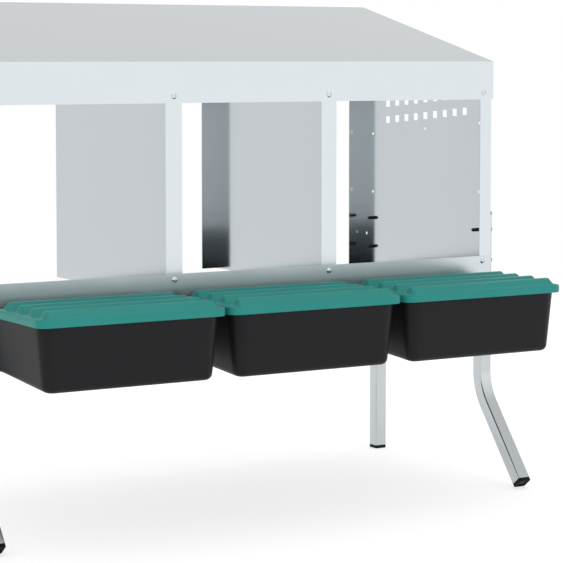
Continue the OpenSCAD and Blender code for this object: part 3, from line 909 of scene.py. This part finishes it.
class BuildLids(bpy.types.Operator):
    """Mould the three ribbed lids with their hinge knuckles"""
    bl_idname = "nest.lids"
    bl_label = "Lids"

    def execute(self, context):
        lids = context.scene.nest_lids
        for bay in BAYS:
            low, high = np.array(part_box("lid_" + bay))
            hinge = np.mean(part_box("hinge_pin_" + bay), axis=0)
            barrel = high[1] - hinge[1]
            back = hinge[1] - 6 * MM
            skin = Skin()
            lid_skin(skin, low, high, lids, back)
            for offset in KNUCKLES:
                x = hinge[0] + offset
                knuckle(skin, x - KNUCKLE_WIDTH / 2, x + KNUCKLE_WIDTH / 2, hinge, barrel,
                        back - 1.5 * MM, hinge[2] - 1 * MM, hinge[2] + 3 * MM)
            skin.piece("lid_shell_" + bay, MATERIALS["lid"], bay + "_lid", "lid_" + bay,
                       "lid_plastic", sharp=50)
        return {"FINISHED"}


class BuildHinges(bpy.types.Operator):
    """Turn the three hinge rods, with domed ends"""
    bl_idname = "nest.hinges"
    bl_label = "Hinge rods"

    def execute(self, context):
        for bay in BAYS:
            low, high = np.array(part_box("hinge_pin_" + bay))
            radius = (high[2] - low[2]) / 2
            centre = middle_at(low, high, 0, low[0])
            length = high[0] - low[0]
            dome = [(radius * math.sin(a), 0.8 * MM * (1 - math.cos(a)))
                    for a in arc(0.05, math.pi / 2, 6)]
            profile = dome + [(r, length - h) for r, h in dome[::-1]]
            skin = Skin()
            skin.solid(revolve(profile, centre, ALONG_X, 24))
            skin.piece("hinge_rod_" + bay, MATERIALS["zinc"], bay + "_tray", "hinge_pin_" + bay,
                       "zinc_fastener")
        return {"FINISHED"}


class BuildScrews(bpy.types.Operator):
    """Turn the pan-head screws, and the nuts behind the sheet"""
    bl_idname = "nest.screws"
    bl_label = "Screws and nuts"

    def execute(self, context):
        ways = {"lip_screws": (0, -1, 0), "rail_screws": (0, -1, 0),
                "roof_back_screws": (0, 1, 0), "rear_rail_screws": (0, 1, 0)}
        for node, way in ways.items():
            skin = Skin()
            for low, high in islands(node):
                self.screw(skin, low, high, np.array(way, float))
            skin.piece(node + "_turned", MATERIALS["zinc"], "box", node, "zinc_fastener")
        skin = Skin()
        for low, high in islands("bar_screws"):
            self.screw(skin, low, high, math.copysign(1, low[0]) * ALONG_X)
        skin.piece("bar_screws_turned", MATERIALS["zinc"], "box", "bar_screws", "zinc_fastener")
        skin = Skin()
        for low, high in islands("panel_nuts"):
            hexagon(skin, middle_at(low, high, 1, low[1]), np.array([0.0, 1.0, 0.0]),
                    (high[0] - low[0]) / 2 * math.cos(math.pi / 6), high[1] - low[1],
                    bore=SCREW_RADIUS)
        skin.piece("panel_nuts_turned", MATERIALS["zinc"], "box", "panel_nuts", "zinc_fastener")
        return {"FINISHED"}

    def screw(self, skin, low, high, way):
        """One screw in the box from low to high, whose head points along way."""
        middle = (low + high) / 2
        face = np.where(way > 0, high, np.where(way < 0, low, middle)) - way * PAN_HEIGHT
        across = [n for n in range(3) if not way[n]][0]
        radius = (high[across] - low[across]) / 2
        length = abs(np.dot(high - low, way)) - PAN_HEIGHT
        pan_head(skin, face, way, radius, PAN_HEIGHT)
        thread(skin, face, -way, SCREW_RADIUS, length, SCREW_PITCH)


class BuildBolts(bpy.types.Operator):
    """Turn the leg bolts and their washers"""
    bl_idname = "nest.bolts"
    bl_label = "Leg bolts"

    def execute(self, context):
        bolts, washers = Skin(), Skin()
        for low, high in islands("leg_bolts"):
            out = math.copysign(1, low[0]) * ALONG_X
            outer = high[0] if out[0] > 0 else low[0]
            base = middle_at(low, high, 0, outer) - out * BOLT_HEAD_DEPTH
            hexagon(bolts, base, out, (high[2] - low[2]) / 2 * math.cos(math.pi / 6),
                    BOLT_HEAD_HEIGHT)
            thread(bolts, base, -out, BOLT_RADIUS, high[0] - low[0] - BOLT_HEAD_DEPTH,
                   BOLT_PITCH, per_turn=6)
        for low, high in islands("leg_washers"):
            radius = (high[2] - low[2]) / 2
            t = high[0] - low[0]
            profile = [(WASHER_BORE, 0), (radius - 0.2 * MM, 0), (radius, 0.2 * MM),
                       (radius, t - 0.2 * MM), (radius - 0.2 * MM, t), (WASHER_BORE, t)]
            rings = revolve(profile, middle_at(low, high, 0, low[0]), ALONG_X, 40)
            washers.grid(rings, wrap_u=True, wrap_v=True)
        bolts.piece("leg_bolts_turned", MATERIALS["dark"], "box", "leg_bolts", "dark_fastener")
        washers.piece("leg_washers_turned", MATERIALS["zinc"], "box", "leg_washers",
                      "zinc_fastener")
        return {"FINISHED"}


class BuildStudio(bpy.types.Operator):
    """Lay a plain pale floor and set the camera and the soft studio light"""
    bl_idname = "nest.studio"
    bl_label = "Studio"

    def execute(self, context):
        studio = context.scene.nest_studio
        self.floor()
        self.world(studio.fill)
        self.lamp("overhead", (0, 0.2, 4.0), (0, 0, 0), size=3.0, power=20)
        self.lamp("sparkle", (-1.6, -2.4, 3.2), (0, -0.2, 0.35), size=0.25, power=12)
        self.camera(studio.lens)
        context.scene.view_settings.view_transform = "Standard"
        return {"FINISHED"}

    def floor(self):
        """A round pale floor that glows a little, made of flat rings."""
        finish = Finish("pale_floor")
        cloud = finish.noise(1.5)
        finish.set(Base_Color=finish.mix(cloud, (0.44, 0.44, 0.44, 1), (0.48, 0.48, 0.48, 1)),
                   Roughness=0.8, Emission_Color=(1, 1, 1, 1), Emission_Strength=0.66)
        angle = around(96)
        reach = np.array([0.01, 1.0, 2.0, 3.2])[:, None]
        grid = np.stack([reach * np.cos(angle), reach * np.sin(angle), 0 * reach * angle],
                        axis=-1)
        mesh = bpy.data.meshes.new("floor")
        skin = Skin()
        skin.grid(grid, wrap_v=True)
        skin.cap(grid[0])
        mesh.from_pydata(np.concatenate(skin.points).tolist(), [], skin.faces)
        mesh.materials.append(finish.material)
        thing = bpy.data.objects.new("floor", mesh)
        bpy.context.scene.collection.objects.link(thing)

    def world(self, fill):
        """White studio walls: even light, brighter from the right of the front, and a
        dark gap low down on the left of the front, which the zinc sheet mirrors."""
        world = bpy.data.worlds.new("studio")
        world.use_nodes = True
        bpy.context.scene.world = world
        walls = Finish(world)
        way = walls.node("ShaderNodeTexCoord").outputs["Generated"]
        upward, forward = walls.along(way, (0, 0, 1)), walls.along(way, (0, -1, 0))
        right = walls.ramp(walls.along(way, (0.51, -0.86, 0)), 0.55, 0.95)
        left = walls.ramp(walls.along(way, (-0.891, 0.454, 0)), -0.012, 0.012)
        low = 1.0 - walls.ramp(upward, -0.102, -0.078)
        above = walls.ramp(upward, 0.15, 0.42)
        gap = left * walls.ramp(forward, 0.1, 0.4) * low * 0.92
        light = (0.95 + right * 0.35 - above * 0.1) * (1.0 - gap)
        seen = Value(walls, walls.node("ShaderNodeLightPath").outputs["Is Camera Ray"])
        strength = seen + (1.0 - seen) * light * fill
        walls.set(Color=(1, 1, 1, 1), Strength=strength)

    def lamp(self, name, place, target, size, power):
        """A square soft light at a place, facing a target."""
        light = bpy.data.lights.new(name, "AREA")
        light.size = size
        light.energy = power
        thing = bpy.data.objects.new(name, light)
        thing.location = place
        way = np.subtract(target, place)
        thing.rotation_euler = (math.acos(way[2] / np.linalg.norm(way)) - math.pi,
                                0, math.atan2(way[1], way[0]) - math.pi / 2)
        bpy.context.scene.collection.objects.link(thing)

    def camera(self, lens):
        """A long lens from the front left, a little above the nest's middle."""
        camera = bpy.data.cameras.new("camera")
        camera.lens = lens
        camera.sensor_width = SENSOR
        camera.shift_y = CAMERA_SHIFT
        thing = bpy.data.objects.new("camera", camera)
        thing.location = CAMERA_PLACE
        thing.rotation_euler = (math.pi / 2 - CAMERA_TILT, 0, CAMERA_TURN)
        bpy.context.scene.collection.objects.link(thing)
        bpy.context.scene.camera = thing


STEPS = (BuildSheets, BuildLegs, BuildPlugs, BuildTrays, BuildLids, BuildHinges,
         BuildScrews, BuildBolts, BuildStudio)
GROUPS = {"nest_trays": NestTrays, "nest_lids": NestLids, "nest_steel": NestSteel,
          "nest_studio": NestStudio}


class NestPanel(bpy.types.Panel):
    """Lists the nest's sizes, colours and building steps"""
    bl_idname = "VIEW3D_PT_nest"
    bl_label = "Laying nest"
    bl_space_type = "VIEW_3D"
    bl_region_type = "UI"
    bl_category = "Nest"

    def draw(self, context):
        for name, group in GROUPS.items():
            box = self.layout.box()
            for key in group.__annotations__:
                box.prop(getattr(context.scene, name), key)
        for step in STEPS:
            self.layout.operator(step.bl_idname)


def register():
    """Registers the groups, their places on the scene, the operators and the panel."""
    for group in GROUPS.values():
        bpy.utils.register_class(group)
    for name, group in GROUPS.items():
        setattr(bpy.types.Scene, name, bpy.props.PointerProperty(type=group))
    for step in (*STEPS, NestPanel):
        bpy.utils.register_class(step)


def unregister():
    """Takes back everything that register added."""
    for step in reversed((*STEPS, NestPanel)):
        bpy.utils.unregister_class(step)
    for name, group in GROUPS.items():
        delattr(bpy.types.Scene, name)
        bpy.utils.unregister_class(group)


def main():
    """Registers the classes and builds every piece."""
    register()
    make_materials()
    for step in STEPS:
        group, name = step.bl_idname.split(".")
        getattr(getattr(bpy.ops, group), name)()


if __name__ == "__main__":
    main()
